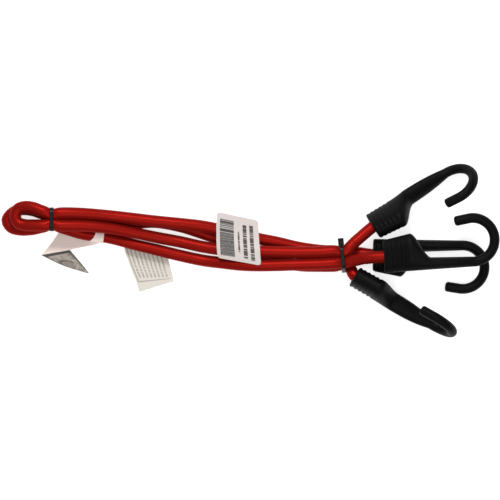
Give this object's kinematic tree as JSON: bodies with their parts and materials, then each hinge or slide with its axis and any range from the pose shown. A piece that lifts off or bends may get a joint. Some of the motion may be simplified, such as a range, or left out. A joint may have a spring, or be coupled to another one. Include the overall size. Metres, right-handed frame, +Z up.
{
  "type": "bungee cord",
  "caption": "Red braided elastic cords with black plastic hooks, folded in half and held in a flat bundle by cable ties, with plain paper labels.",
  "frame": {"origin": "on the surface that the bundle lies on, under the middle of the box round its hooks, ties and labels", "axes": "+X along the bundle from its folded loops to its hooks, +Y across it, +Z up off the surface"},
  "size_m": [0.3155, 0.11, 0.0333],
  "materials": {
    "braid": "satin braided polyester",
    "core": "natural latex strands",
    "crimp": "pressed steel",
    "hook": "moulded nylon, fine matte grain",
    "tie": "smooth nylon",
    "sticker": "coated label paper",
    "tag": "uncoated card"
  },
  "bodies": {
    "bundle": {"sheath_one_run": "braid", "core_one_run": "core", "sheath_two_run": "braid", "core_two_run": "core", "sheath_under_end": "braid", "core_under_end": "core", "tie_loop_end": "tie", "tie_hook_end": "tie", "price_sticker": "sticker", "wrap_tag": "tag"},
    "upper_end": {"sheath_upper_end": "braid", "core_upper_end": "core"},
    "upper_crimp": {"crimp_upper": "crimp"},
    "upper_hook": {"hook_upper": "hook"},
    "lower_end": {"sheath_lower_end": "braid", "core_lower_end": "core"},
    "lower_crimp": {"crimp_lower": "crimp"},
    "lower_hook": {"hook_lower": "hook"},
    "top_end": {"sheath_top_end": "braid", "core_top_end": "core"},
    "top_hook": {"hook_top": "hook", "crimp_top": "crimp"},
    "under_hook": {"hook_under": "hook", "crimp_under": "crimp"},
    "hanging_tag": {"hanging_tag": "tag"}
  },
  "joints": [
    {"name": "upper_swing", "type": "hinge", "parent": "bundle", "child": "upper_end", "pos_m": [0.0447, -0.0006, 0.0129], "axis": [0, 0, 1], "range_deg": [0, 40], "stiffness_Nm_per_rad": 0.05, "deforming": ["sheath_upper_end"]},
    {"name": "upper_stretch", "type": "slide", "parent": "upper_end", "child": "upper_crimp", "axis": [0.8499, 0.527, 0], "range_m": [0, 0.018], "stiffness_N_per_m": 3000, "deforming": ["core_upper_end"]},
    {"name": "upper_swivel", "type": "hinge", "parent": "upper_crimp", "child": "upper_hook", "pos_m": [0.0652, 0.0148, 0.00993], "axis": [0.8499, 0.527, 0], "range_deg": [-60, 30], "stiffness_Nm_per_rad": 0.05},
    {"name": "lower_swing", "type": "hinge", "parent": "bundle", "child": "lower_end", "pos_m": [0.0447, -0.0102, 0.0052], "axis": [0, 0, 1], "range_deg": [-40, 0], "stiffness_Nm_per_rad": 0.05, "deforming": ["sheath_lower_end"]},
    {"name": "lower_stretch", "type": "slide", "parent": "lower_end", "child": "lower_crimp", "axis": [0.859, -0.512, 0], "range_m": [0, 0.01], "stiffness_N_per_m": 3000, "deforming": ["core_lower_end"]},
    {"name": "lower_swivel", "type": "hinge", "parent": "lower_crimp", "child": "lower_hook", "pos_m": [0.0536, -0.0167, 0.01026], "axis": [0.859, -0.512, 0], "range_deg": [-45, 60], "stiffness_Nm_per_rad": 0.05},
    {"name": "top_lift", "type": "hinge", "parent": "bundle", "child": "top_end", "pos_m": [0.0447, -0.0084, 0.0129], "axis": [0, -1, 0], "range_deg": [0, 50], "stiffness_Nm_per_rad": 0.05, "deforming": ["sheath_top_end"]},
    {"name": "top_stretch", "type": "slide", "parent": "top_end", "child": "top_hook", "axis": [0.997, 0.0697, -0.0349], "range_m": [0, 0.022], "stiffness_N_per_m": 3000, "deforming": ["core_top_end"]},
    {"name": "under_stretch", "type": "slide", "parent": "bundle", "child": "under_hook", "axis": [0.9998, -0.0174, 0], "range_m": [0, 0.016], "stiffness_N_per_m": 3000, "deforming": ["sheath_under_end", "core_under_end"]},
    {"name": "tag_lift", "type": "hinge", "parent": "bundle", "child": "hanging_tag", "pos_m": [-0.0933, 0.0032, 0.00055], "axis": [-0.9687, 0.2482, 0], "range_deg": [0, 60]}
  ]
}
